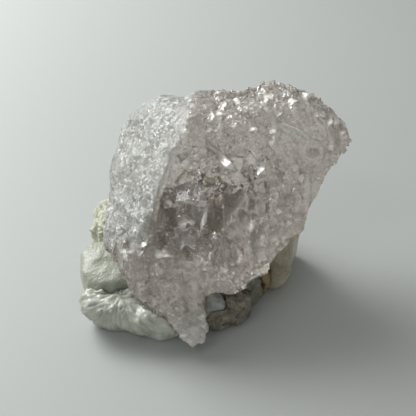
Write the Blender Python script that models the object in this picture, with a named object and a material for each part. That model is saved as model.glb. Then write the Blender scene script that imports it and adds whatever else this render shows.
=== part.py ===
"""Kunzite crystal on its pegmatite matrix: a loose mineral specimen that rests on a trimmed base.

The crystal is one tablet. Its rim is an outline in the tablet's own plane, its two faces are planes blended
into each other, and it is turned to lean back over the matrix. The matrix is an aggregate of mineral grains.
Each grain is a rounded polyhedron, cut flat at the table and cut back from the crystal and from the grains
that grew before it, with a hairline gap. Sizes are in millimetres until a mesh is made.
"""

import math

import bmesh
import bpy
from mathutils import Euler, Matrix, Vector, noise

MM = 0.001

# The tablet's place: the middle of its plane, and how far its broad face is tipped up from lying flat.
TABLET_MIDDLE = (0.0, -4.8, 29.5)
TABLET_TILT = 50

# The tablet's rim, anticlockwise from the top of its left shoulder: right, up the slope, and out of the face.
RIM = [
    (-4.5, 30.5, -8),
    (-8.5, 28.5, -8.5),
    (-14, 29, -9),
    (-19, 27, -9.5),
    (-22.5, 24, -10),
    (-25.5, 18.5, -10),
    (-27, 12, -10),
    (-27, 1, -8),
    (-28.5, -6, -6.5),
    (-27.5, -11, -5),
    (-25.5, -12.5, -4),
    (-21, -21, -3),
    (-15, -27, -2),
    (-11.5, -27.5, -1.5),
    (-9.5, -31.5, -1),
    (-5.5, -35.5, -0.5),
    (-2, -32, -0.5),
    (-1.5, -29, -1),
    (-3, -26, -1.5),
    (-2.5, -22, -2),
    (5, -22, -3),
    (8.5, -18, -3),
    (12, -15.5, -3),
    (18, -8, -3.5),
    (22, -5, -4),
    (24, 2, -4),
    (28.5, 9, -5),
    (34.5, 17, -6),
    (33, 21.5, -6.5),
    (24, 30, -8),
    (18.5, 32, -8),
    (13, 32.5, -8),
    (10, 31, -8),
    (0, 29.5, -8),
]
RIM_HUB = (-8.0, 0.0)  # every point of the rim is in plain sight of this one
RIM_STEP = 2.4
RINGS = 8
RING_CROWDING = 1.25  # more than 1 draws the rings towards the rim
FRONT_SHOULDER = 5.0  # how squarely the front face turns over into the rim
BACK_SHOULDER = 3.2

# Each face: the way it falls in the tablet's plane, how far from the middle the fall starts, and its slope.
FRONT_LEVEL = 5.0
FRONT_FACES = [
    ((-0.95, 0.30), 13.5, 0.80),  # the frosted left face
    ((0.00, 1.00), 23.0, 1.30),  # the bevel along the top
    ((1.00, 0.10), 13.0, 0.40),  # the right cheek
    ((0.67, -0.74), 13.0, 0.85),  # the overhanging lip
    ((-0.30, -0.95), 11.0, 0.25),  # the long slope down to the spur
]
BACK_LEVEL = -22.0
BACK_FACES = [
    ((0.00, 1.00), 12.0, 0.45),
    ((0.00, -1.00), 6.0, 1.00),
    ((-1.00, 0.00), 14.0, 0.60),
    ((1.00, 0.00), 12.0, 0.50),
]
FACE_BLEND = 1.2  # millimetres over which two faces run into each other

# The spur: the tongue at the tablet's foot, thinner than the rest.
SPUR_TOP, SPUR_FOOT = -20.0, -28.0
SPUR_LEFT, SPUR_RIGHT = -22.0, -13.0
SPUR_BACK = -3.2
SPUR_SWELL = 1.6

ETCH_DEPTH, ETCH_SCALE = 0.9, 6.5
CRYSTAL_GRAIN = 0.8  # the even spacing that the tablet's surface is remade at
CRYSTAL_THINNING = 0.10  # the share of its triangles that are kept, most where it bends most
CRYSTAL_COLOUR, CRYSTAL_ROUGHNESS = (0.80, 0.70, 0.69), 0.15

HAIRLINE = 0.35  # the gap between touching pieces
SLIVER = 0.001  # a cut edge shorter than this is closed up
ROUNDNESS = 9.0  # the power that rounds a grain's edges: more is sharper
CHAMFERS = 7  # extra broken faces on each grain
CHAMFER_REACH = 0.82  # how far out a broken face lies, as a share of the box's own reach that way
CHAMFER_SPREAD = 0.10  # how much that share varies from face to face
LUMP_SCALE = 5.0

# The smooth noise behind etching and lumps, and the steps between the places it is read at.
NOISE_DIMENSION, NOISE_SCALING, NOISE_OCTAVES = 1.0, 2.0, 2
AXIS_STEP = 31.7
SEED_STEP, FACE_STEP, NOISE_START = 1.7, 2.3, 0.5
SPREAD_STEP = 1.9

TRIM_TOLERANCE = 0.0001  # a point this near the table's plane, in millimetres, is on it

# Each grain: middle, half sizes, turn in degrees, seed, lumpiness, subdivisions, colour, roughness.
GRAINS = {
    "albite_knob": ((-25.4, -5.4, 6.4), (8.2, 7.6, 8.4), (8, -6, 14), 3, 1.0, 3, (0.78, 0.80, 0.70), 0.45),
    "albite_fan": ((-18.6, -11.8, 4.0), (13.0, 9.0, 7.2), (12, 6, -16), 8, 1.2, 4, (0.70, 0.73, 0.66), 0.4),
    "albite_crust": ((-26.6, 9.6, 8.8), (6.0, 6.2, 10.2), (0, 8, 20), 5, 1.4, 3, (0.86, 0.86, 0.70), 0.6),
    "quartz_chip": ((-1.0, -15.6, 6.2), (2.4, 2.4, 4.0), (14, 34, 24), 21, 0.3, 3, (0.62, 0.66, 0.64), 0.25),
    "smoky_grain_low": ((1.6, -12.0, 3.6), (7.0, 6.2, 5.2), (4, 10, 26), 13, 1.0, 3, (0.34, 0.30, 0.24), 0.35),
    "smoky_grain_high": ((5.2, -6.2, 6.0), (6.2, 5.6, 7.6), (0, -8, 32), 17, 0.9, 3, (0.42, 0.42, 0.35), 0.35),
    "stained_wedge": ((9.6, -4.4, 5.8), (4.6, 4.4, 7.6), (0, 0, 38), 19, 0.6, 2, (0.55, 0.42, 0.24), 0.4),
    "feldspar_block": ((12.9, 5.4, 6.8), (8.4, 9.0, 9.2), (4, 4, -16), 11, 0.8, 3, (0.60, 0.56, 0.42), 0.35),
    "feldspar_core": ((-4.2, 8.6, 8.0), (20.5, 13.0, 12.5), (-6, 4, 4), 29, 1.6, 4, (0.74, 0.73, 0.62), 0.5),
}


def clear_scene():
    """Removes whatever the file opened with."""
    for leftover in list(bpy.data.objects):
        bpy.data.objects.remove(leftover)


def stone_material(name, colour, roughness):
    """A plain mineral finish."""
    material = bpy.data.materials.new(name)
    material.use_nodes = True
    shader = material.node_tree.nodes["Principled BSDF"]
    shader.inputs["Base Color"].default_value = (*colour, 1.0)
    shader.inputs["Roughness"].default_value = roughness
    shader.inputs["Metallic"].default_value = 0.0
    return material


def drift(place):
    """Three smooth values for a place, one for each axis, each between about -1 and 1."""
    grain = NOISE_DIMENSION, NOISE_SCALING, NOISE_OCTAVES
    return Vector([noise.fractal(place + Vector((AXIS_STEP * k, 0, 0)), *grain) for k in range(3)])


def soft_min(a, b, width):
    """The smaller of two heights, with the crease between them rounded over width."""
    share = max(width - abs(a - b), 0.0) / width
    return min(a, b) - share * share * width / 4


def smooth_step(low, high, x):
    """0 below low, 1 above high, and an easy curve between."""
    t = min(max((x - low) / (high - low), 0.0), 1.0)
    return t * t * (3 - 2 * t)


def fall(faces, u, v):
    """How far the faces have dropped from the level at (u, v)."""
    drop = 0.0
    for (along_u, along_v), start, slope in faces:
        drop = -soft_min(-drop, -slope * (along_u * u + along_v * v - start), FACE_BLEND)
    return drop


def spur_share(u, v):
    """0 on the tablet's body, 1 on the spur at its foot."""
    return smooth_step(-SPUR_TOP, -SPUR_FOOT, -v) * smooth_step(SPUR_LEFT, SPUR_RIGHT, u)


def front_height(u, v):
    """The front face's height over the tablet's plane."""
    return FRONT_LEVEL - fall(FRONT_FACES, u, v) + SPUR_SWELL * spur_share(u, v)


def back_height(u, v):
    """The back face's height over the tablet's plane, which is below it."""
    body = BACK_LEVEL + fall(BACK_FACES, u, v)
    return body + (SPUR_BACK - body) * spur_share(u, v)


def rim_points():
    """The rim with points no further apart than RIM_STEP."""
    points = []
    for here, there in zip(RIM, RIM[1:] + RIM[:1]):
        a, b = Vector(here), Vector(there)
        steps = max(1, round((b - a).length / RIM_STEP))
        points += [a.lerp(b, i / steps) for i in range(steps)]
    return points


def etched(point):
    """A point of the tablet, shifted as slow etching leaves it."""
    return point + drift(point / ETCH_SCALE) * ETCH_DEPTH


def tablet_mesh():
    """The crystal's closed surface: rings of points from each face's hub out to the shared rim."""
    mesh = bmesh.new()
    rim = rim_points()
    hub = Vector(RIM_HUB)

    def ring(share, height, shoulder):
        """One ring of vertices at this share of the way out to the rim."""
        lift = math.sqrt(max(1 - share**shoulder, 0.0))
        made = []
        for point in rim:
            u, v = hub.lerp(point.xy, share)
            w = point.z + (height(u, v) - point.z) * lift
            made.append(mesh.verts.new(etched(Vector((u, v, w)))))
        return made

    outline = ring(1.0, front_height, FRONT_SHOULDER)
    for height, shoulder in ((front_height, FRONT_SHOULDER), (back_height, BACK_SHOULDER)):
        outer = outline
        for step in range(1, RINGS):
            inner = ring(1 - (step / RINGS) ** RING_CROWDING, height, shoulder)
            for i, _ in enumerate(outer):
                j = (i + 1) % len(outer)
                mesh.faces.new((outer[i], outer[j], inner[j], inner[i]))
            outer = inner
        top = mesh.verts.new(etched(Vector((*hub, height(*hub)))))
        for i, _ in enumerate(outer):
            mesh.faces.new((outer[i], outer[(i + 1) % len(outer)], top))
    bmesh.ops.recalc_face_normals(mesh, faces=mesh.faces)
    return mesh


def place_object(name, mesh, middle, turn, colour, roughness):
    """A named object of this bmesh, which is in millimetres, with its place, its turn and its finish."""
    mesh.transform(Matrix.Scale(MM, 4))
    data = bpy.data.meshes.new(name)
    mesh.to_mesh(data)
    mesh.free()
    data.materials.append(stone_material(name + "_stone", colour, roughness))
    made = bpy.data.objects.new(name, data)
    made.location = Vector(middle) * MM
    made.rotation_euler = [math.radians(a) for a in turn]
    bpy.context.scene.collection.objects.link(made)
    return made


def grain_faces(half_sizes, seed):
    """A grain's flat faces, each a unit normal and its distance: a box's six and some broken corners."""
    faces = []
    for axis in range(3):
        for sign in (-1, 1):
            normal = Vector([sign if k == axis else 0 for k in range(3)])
            faces.append((normal, half_sizes[axis]))
    for i in range(CHAMFERS):
        where = Vector((seed * SEED_STEP, i * FACE_STEP, NOISE_START))
        normal = drift(where).normalized()
        reach = sum(abs(n) * h for n, h in zip(normal, half_sizes))
        share = CHAMFER_REACH + CHAMFER_SPREAD * noise.noise(where * SPREAD_STEP)
        faces.append((normal, reach * share))
    return faces


def grain_mesh(half_sizes, seed, subdivisions, lumpiness, grow):
    """A closed grain: its flat faces rounded into each other, and lumpy. Grow moves its surface out."""
    faces = grain_faces(half_sizes, seed)
    mesh = bmesh.new()
    bmesh.ops.create_icosphere(mesh, subdivisions=subdivisions, radius=1.0)
    for vertex in mesh.verts:
        direction = vertex.co.normalized()
        total = sum((max(direction.dot(n), 0.0) / h) ** ROUNDNESS for n, h in faces)
        point = direction * total ** (-1 / ROUNDNESS)
        vertex.co = point + drift(point / LUMP_SCALE + Vector((seed, 0, 0))) * lumpiness
    if grow:
        bmesh.ops.recalc_face_normals(mesh, faces=mesh.faces)
        mesh.normal_update()
        for vertex in mesh.verts:
            vertex.co += vertex.normal * grow
    return mesh


def trim_base(mesh, middle, turn):
    """Cuts a grain flat at the table, z = 0, before it is placed."""
    into_grain = Euler([math.radians(a) for a in turn]).to_matrix().inverted()
    point = into_grain @ -Vector(middle)
    down = into_grain @ Vector((0, 0, -1))
    everything = mesh.verts[:] + mesh.edges[:] + mesh.faces[:]
    cut = bmesh.ops.bisect_plane(
        mesh, geom=everything, dist=TRIM_TOLERANCE, plane_co=point, plane_no=down, clear_outer=True
    )
    edges = [e for e in cut["geom_cut"] if isinstance(e, bmesh.types.BMEdge)]
    if edges:
        bmesh.ops.holes_fill(mesh, edges=edges, sides=0)
    bmesh.ops.triangulate(mesh, faces=mesh.faces[:])


def hide_cutter(cutter):
    """Marks a cutter as no part of the specimen."""
    cutter.hide_render = True
    cutter.display_type = "WIRE"
    return cutter


def make_grain(name):
    """One mineral grain, still whole where its neighbours will cut it, and the cutter for later grains."""
    middle, half_sizes, turn, seed, lumpiness, subdivisions, colour, roughness = GRAINS[name]
    mesh = grain_mesh(half_sizes, seed, subdivisions, lumpiness, 0.0)
    trim_base(mesh, middle, turn)
    grain = place_object(name, mesh, middle, turn, colour, roughness)
    grown = grain_mesh(half_sizes, seed, subdivisions, lumpiness, HAIRLINE)
    cutter = place_object(name + "_cutter", grown, middle, turn, colour, roughness)
    return grain, hide_cutter(cutter)


def shaped(obj):
    """The object's mesh with its modifiers applied, as a bmesh in metres, and its modifiers removed."""
    bpy.context.view_layer.update()
    evaluated = obj.evaluated_get(bpy.context.evaluated_depsgraph_get())
    mesh = bmesh.new()
    mesh.from_mesh(evaluated.to_mesh())
    evaluated.to_mesh_clear()
    obj.modifiers.clear()
    return mesh


def make_crystal():
    """The kunzite tablet, leaning back, and a grown copy of it that cuts the grains behind."""
    turn = (TABLET_TILT, 0, 0)
    finish = CRYSTAL_COLOUR, CRYSTAL_ROUGHNESS
    crystal = place_object("kunzite_crystal", tablet_mesh(), TABLET_MIDDLE, turn, *finish)
    remake = crystal.modifiers.new("remake", "REMESH")
    remake.mode = "VOXEL"
    remake.voxel_size = CRYSTAL_GRAIN * MM
    thin = crystal.modifiers.new("thin", "DECIMATE")
    thin.ratio = CRYSTAL_THINNING
    mesh = shaped(crystal)
    mesh.to_mesh(crystal.data)
    mesh.normal_update()
    for vertex in mesh.verts:
        vertex.co += vertex.normal * HAIRLINE * MM
    mesh.transform(Matrix.Scale(1 / MM, 4))
    cutter = place_object("crystal_cutter", mesh, TABLET_MIDDLE, turn, *finish)
    return crystal, hide_cutter(cutter)


def cut_back(grain, cutters):
    """Cuts a grain by each cutter, and keeps its largest body."""
    for cutter in cutters:
        cut = grain.modifiers.new("cut_" + cutter.name, "BOOLEAN")
        cut.operation = "DIFFERENCE"
        cut.solver = "EXACT"
        cut.use_self = True
        cut.object = cutter
    mesh = shaped(grain)
    bmesh.ops.triangulate(mesh, faces=mesh.faces[:])
    bmesh.ops.dissolve_degenerate(mesh, dist=SLIVER * MM, edges=mesh.edges[:])
    bmesh.ops.triangulate(mesh, faces=mesh.faces[:])
    body = largest_body(mesh)
    bmesh.ops.delete(mesh, geom=[v for v in mesh.verts if v not in body], context="VERTS")
    mesh.to_mesh(grain.data)
    mesh.free()


def largest_body(mesh):
    """The vertices of the connected body that has the most of them."""
    left, best = set(mesh.verts), set()
    while left:
        body, edge = set(), [next(iter(left))]
        while edge:
            vertex = edge.pop()
            if vertex not in body:
                body.add(vertex)
                edge += [e.other_vert(vertex) for e in vertex.link_edges]
        left -= body
        if len(body) > len(best):
            best = body
    return best


def centre_on_origin(pieces):
    """Hangs the pieces on one empty, which sets the middle of the specimen's underside at the origin."""
    bpy.context.view_layer.update()
    points = [p.matrix_world @ v.co for p in pieces for v in p.data.vertices]
    low = Vector([min(p[k] for p in points) for k in range(3)])
    high = Vector([max(p[k] for p in points) for k in range(3)])
    specimen = bpy.data.objects.new("specimen", None)
    bpy.context.scene.collection.objects.link(specimen)
    for piece in pieces:
        piece.parent = specimen
    specimen.location = (-(low.x + high.x) / 2, -(low.y + high.y) / 2, -low.z)


def main():
    """Builds the crystal and its matrix, and centres them over the origin."""
    clear_scene()
    crystal, cutter = make_crystal()
    pieces, cutters = [crystal], [cutter]
    for name in GRAINS:
        grain, cutter = make_grain(name)
        cut_back(grain, cutters)
        pieces.append(grain)
        cutters.append(cutter)
    for cutter in cutters:
        bpy.data.objects.remove(cutter)
    centre_on_origin(pieces)


main()
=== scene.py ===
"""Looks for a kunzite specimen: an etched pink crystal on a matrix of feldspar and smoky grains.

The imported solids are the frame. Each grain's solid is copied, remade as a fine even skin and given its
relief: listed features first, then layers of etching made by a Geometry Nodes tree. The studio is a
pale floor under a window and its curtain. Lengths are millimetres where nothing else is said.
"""

from __future__ import annotations

import logging
import math
from dataclasses import dataclass
from enum import Enum
from typing import Any, Union

import bmesh
import bpy
import numpy as np
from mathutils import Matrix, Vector


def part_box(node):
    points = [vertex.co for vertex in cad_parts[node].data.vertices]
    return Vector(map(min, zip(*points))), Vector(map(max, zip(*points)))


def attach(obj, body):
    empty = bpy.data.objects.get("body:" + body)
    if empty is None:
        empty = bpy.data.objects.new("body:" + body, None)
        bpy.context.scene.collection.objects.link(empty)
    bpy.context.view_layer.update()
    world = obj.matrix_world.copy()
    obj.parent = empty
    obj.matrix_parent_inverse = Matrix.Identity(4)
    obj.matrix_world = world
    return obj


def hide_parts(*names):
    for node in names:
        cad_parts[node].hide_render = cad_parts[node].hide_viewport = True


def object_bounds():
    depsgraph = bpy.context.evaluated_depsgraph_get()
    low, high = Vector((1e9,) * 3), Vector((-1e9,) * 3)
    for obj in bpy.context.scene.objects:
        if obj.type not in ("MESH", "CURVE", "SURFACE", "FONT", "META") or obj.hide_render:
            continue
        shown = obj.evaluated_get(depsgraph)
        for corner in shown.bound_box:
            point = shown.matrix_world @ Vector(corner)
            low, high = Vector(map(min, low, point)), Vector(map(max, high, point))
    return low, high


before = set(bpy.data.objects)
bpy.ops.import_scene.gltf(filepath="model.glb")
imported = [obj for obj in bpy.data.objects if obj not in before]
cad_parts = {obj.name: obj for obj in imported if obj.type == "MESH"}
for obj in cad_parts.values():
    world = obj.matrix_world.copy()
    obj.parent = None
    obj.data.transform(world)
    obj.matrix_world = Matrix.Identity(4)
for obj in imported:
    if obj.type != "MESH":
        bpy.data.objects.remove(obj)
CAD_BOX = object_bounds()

MM = 0.001
BODY = "root"
TINY = 1e-12  # keeps a division by a level stretch's height from failing
MERGE_DISTANCE = 0.001
RELAX_FACTOR = 0.5
MIDDLE = 0.5  # the middle of every texture's range of values
FINE_RANGE = (0.3, 0.7)  # the range that a fine texture's values mostly lie in
CLOUD_RANGE = (0.36, 0.64)  # the range that a broad texture's values mostly lie in

log = logging.getLogger("kunzite")

Colour = tuple[float, float, float]
Point2 = tuple[float, float]
Triple = tuple[float, float, float]
Array = np.ndarray
Socket = bpy.types.NodeSocket
Feed = Union[Socket, float, tuple, list, str, bpy.types.Material]


# ---------------------------------------------------------------- numbers over a surface


def smooth_step(low: float, high: float, x: Array) -> Array:
    """0 where x is under low, 1 where it is over high, and an easy curve between."""
    t = np.clip((x - low) / (high - low), 0.0, 1.0)
    return t * t * (3 - 2 * t)


@dataclass(frozen=True)
class Trail:
    """A line of points drawn on the crystal's broad face, open or closed."""

    points: tuple[Point2, ...]
    closed: bool = False

    def segments(self) -> list[tuple[Array, Array]]:
        """The two ends of each straight stretch."""
        ends = [np.array(p, float) for p in self.points]
        following = ends[1:] + ends[:1] if self.closed else ends[1:]
        return list(zip(ends, following))

    def distance(self, flat: Array) -> Array:
        """How far each point of the face lies from the trail.

        Args:
            flat: the points, one row of (u, v) each.

        Returns:
            One distance for each point.
        """
        best = np.full(len(flat), np.inf)
        for a, b in self.segments():
            along = b - a
            share = np.clip((flat - a) @ along / (along @ along), 0.0, 1.0)
            gap = flat - a - share[:, None] * along
            best = np.minimum(best, np.hypot(gap[:, 0], gap[:, 1]))
        return best

    def depth_inside(self, flat: Array) -> Array:
        """How far each point lies inside a closed trail: positive inside, negative outside.

        Args:
            flat: the points, one row of (u, v) each.

        Returns:
            One distance for each point.
        """
        inside = np.zeros(len(flat), bool)
        for a, b in self.segments():
            crosses = (a[1] > flat[:, 1]) != (b[1] > flat[:, 1])
            if crosses.any():
                at = a[0] + (flat[:, 1] - a[1]) * (b[0] - a[0]) / (b[1] - a[1] + TINY)
                inside ^= crosses & (flat[:, 0] < at)
        return np.where(inside, 1.0, -1.0) * self.distance(flat)


def outline(*corners: Point2) -> Trail:
    """A closed trail."""
    return Trail(corners, closed=True)


def line(*points: Point2) -> Trail:
    """An open trail."""
    return Trail(points)


@dataclass(frozen=True)
class Ridge:
    """A raised line on the broad face, with a milky veil along it that paints a highlight streak.

    Attributes:
        trail: the line.
        height: how far it stands proud.
        width: how far to each side it reaches.
        veil: how milky it is, as a painted highlight streak.
    """

    trail: Trail
    height: float
    width: float
    veil: float = 0.0

    def lift(self, flat: Array) -> Array:
        """How much the ridge raises each point."""
        return self.height * self.nearness(flat, 1.0)

    def nearness(self, flat: Array, spread: float) -> Array:
        """How near each point lies, from 1 on the ridge to 0 well off it."""
        return np.exp(-((self.trail.distance(flat) / (spread * self.width)) ** 2))


@dataclass(frozen=True)
class Facet:
    """A flat broken face let into the broad face.

    Attributes:
        trail: its closed outline.
        rise: how far its middle stands proud, or under zero how far it is sunk.
        slope: how fast it climbs to the right, and how fast it climbs upward.
        edge: how far its border is softened.
        veil: how milky it is, as a painted highlight, or under zero how clear and dark, as painted shade.
    """

    trail: Trail
    rise: float
    slope: Point2
    edge: float
    veil: float

    def share(self, flat: Array) -> Array:
        """How much of the facet shows at each point, from 0 to 1."""
        return smooth_step(-self.edge, self.edge, self.trail.depth_inside(flat))

    def height(self, flat: Array) -> Array:
        """The height of the facet's plane at each point."""
        middle = np.mean(np.array(self.trail.points, float), axis=0)
        return self.rise + (flat - middle) @ np.array(self.slope)


@dataclass(frozen=True)
class Ring:
    """A raised ring on the broad face.

    Attributes:
        middle: its middle.
        radius: its radius.
        height: how far it stands proud, as a share of its radius.
        width: how far to each side it reaches, as a share of its radius.
        veil: how milky it is.
    """

    middle: Point2
    radius: float
    height: float
    # veil: how milky it is, as a painted highlight ring.
    width: float
    veil: float

    def distance(self, flat: Array) -> Array:
        """How far each point lies from the ring's middle."""
        return np.hypot(flat[:, 0] - self.middle[0], flat[:, 1] - self.middle[1])

    def nearness(self, flat: Array) -> Array:
        """How near each point lies to the ring, from 1 on it to 0 well off it."""
        return np.exp(-(((self.distance(flat) - self.radius) / (self.width * self.radius)) ** 2))


# ---------------------------------------------------------------- node trees


class Graph:
    """Adds and joins the nodes of one tree."""

    def __init__(self, tree: bpy.types.NodeTree) -> None:
        """Starts on an existing tree."""
        self.tree = tree

    def add(self, kind: str, inputs: dict[str | int, Feed] | None = None, **settings: Any) -> bpy.types.Node:
        """Adds a node.

        Args:
            kind: the node's type name.
            inputs: socket name or number to a value, or to the socket that feeds it.
            settings: the node's own properties.

        Returns:
            The new node.
        """
        node = self.tree.nodes.new(kind)
        for name, value in settings.items():
            setattr(node, name, value)
        for key, value in (inputs or {}).items():
            self.feed(node.inputs[key], value)
        return node

    def feed(self, socket: Socket, value: Feed) -> None:
        """Links a socket to another, or sets its value.

        Args:
            socket: the socket to fill.
            value: the value, or the socket that feeds it.
        """
        if isinstance(value, Socket):
            self.tree.links.new(value, socket)
        else:
            socket.default_value = value

    def math(self, operation: str, a: Feed, b: Feed = 0.0, clamp: bool = False) -> Socket:
        """The result of one sum on numbers."""
        return self.add("ShaderNodeMath", {0: a, 1: b}, operation=operation, use_clamp=clamp).outputs[0]

    def vector(self, operation: str, a: Feed, b: Feed) -> Socket:
        """The result of one sum on vectors; a dot product comes out as a number."""
        node = self.add("ShaderNodeVectorMath", {0: a, 1: b}, operation=operation)
        return node.outputs["Value" if operation == "DOT_PRODUCT" else "Vector"]

    def scaled(self, vector: Feed, factor: Feed) -> Socket:
        """A vector times a number."""
        node = self.add("ShaderNodeVectorMath", {0: vector, "Scale": factor}, operation="SCALE")
        return node.outputs["Vector"]

    def spread(
        self, value: Feed, low: float, high: float, to_low: float = 0.0, to_high: float = 1.0
    ) -> Socket:
        """A number moved from one range to another, and kept in it.

        Args:
            value: the number.
            low: the lower end of its own range.
            high: the upper end of its own range.
            to_low: what the lower end becomes.
            to_high: what the upper end becomes.

        Returns:
            The moved number.
        """
        inputs = {"Value": value, "From Min": low, "From Max": high, "To Min": to_low, "To Max": to_high}
        return self.add("ShaderNodeMapRange", inputs, clamp=True).outputs["Result"]

    def noise(
        self, place: Socket, scale: float, detail: float, rough: float = 0.5, twist: float = 0.0
    ) -> bpy.types.Node:
        """A noise texture.

        Args:
            place: where it is read.
            scale: how many of its features fit in one unit.
            detail: how many finer layers it has.
            rough: how strong the finer layers are.
            twist: how much it is bent.

        Returns:
            Its node.
        """
        inputs = {"Vector": place, "Scale": scale, "Detail": detail, "Roughness": rough, "Distortion": twist}
        return self.add("ShaderNodeTexNoise", inputs)

    def cells(self, place: Socket, scale: float = 1.0) -> bpy.types.Node:
        """A texture of scattered cells, one unit across at a scale of 1."""
        return self.add("ShaderNodeTexVoronoi", {"Vector": place, "Scale": scale, "Randomness": 1.0})

    def off_middle(self, colour: Socket) -> Socket:
        """A texture's colour as a vector that runs as far below nought as above it."""
        return self.vector("SUBTRACT", colour, (MIDDLE,) * 3)

    def shards(self, place: Socket) -> Socket:
        """The height of a broken surface: one flat facet to a cell, each tilted its own way.

        Args:
            place: where it is read.

        Returns:
            The height, in units of a cell.
        """
        cells = self.cells(place)
        tilt = self.off_middle(cells.outputs["Color"])
        across = self.vector("SUBTRACT", place, cells.outputs["Position"])
        return self.math("MULTIPLY", self.vector("DOT_PRODUCT", tilt, across), 2.0)

    def cell_value(self, place: Socket, channel: int) -> Socket:
        """A number from 0 to 1 of each cell's own, for the same cells that shards tilts."""
        return self.add("ShaderNodeSeparateColor", {0: self.cells(place).outputs["Color"]}).outputs[channel]

    def attribute(self, name: str) -> Socket:
        """A number that the mesh carries, for a material."""
        return self.add("ShaderNodeAttribute", attribute_name=name).outputs["Fac"]

    def blend(self, share: Feed, a: Feed, b: Feed, mode: str = "MIX") -> Socket:
        """Two colours mixed.

        Args:
            share: how much of the second colour shows.
            a: the first colour.
            b: the second colour.
            mode: how they mix.

        Returns:
            The mixed colour.
        """
        node = self.add("ShaderNodeMix", data_type="RGBA", blend_type=mode)
        named = {socket.identifier: socket for socket in node.inputs}
        for name, value in (("Factor_Float", share), ("A_Color", a), ("B_Color", b)):
            self.feed(named[name], value)
        return next(socket for socket in node.outputs if socket.identifier == "Result_Color")


class Texture(Enum):
    """How one layer of etching bites into a surface."""

    CUPS = "scooped hollows with sharp edges between them"
    SHARDS = "flat broken facets, each tilted its own way"
    FOLDS = "soft swells and creases"
    GRIT = "fine frosting"


@dataclass(frozen=True)
class Layer:
    """One layer of relief.

    Attributes:
        name: what the tree's inputs are called.
        texture: the kind of relief.
        size: how far apart its features lie.
        depth: how deep it bites.
        mask: the attribute that says where it acts, or nothing for everywhere.
        stretch: how much longer its features are along each axis of the surface's own frame.
        seed: which of its patterns is used.
        place: the attribute that holds the surface's own frame.
    """

    name: str
    texture: Texture
    size: float
    depth: float
    mask: str = ""
    stretch: Triple = (1.0, 1.0, 1.0)
    seed: int = 0
    place: str = "own_place"


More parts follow.
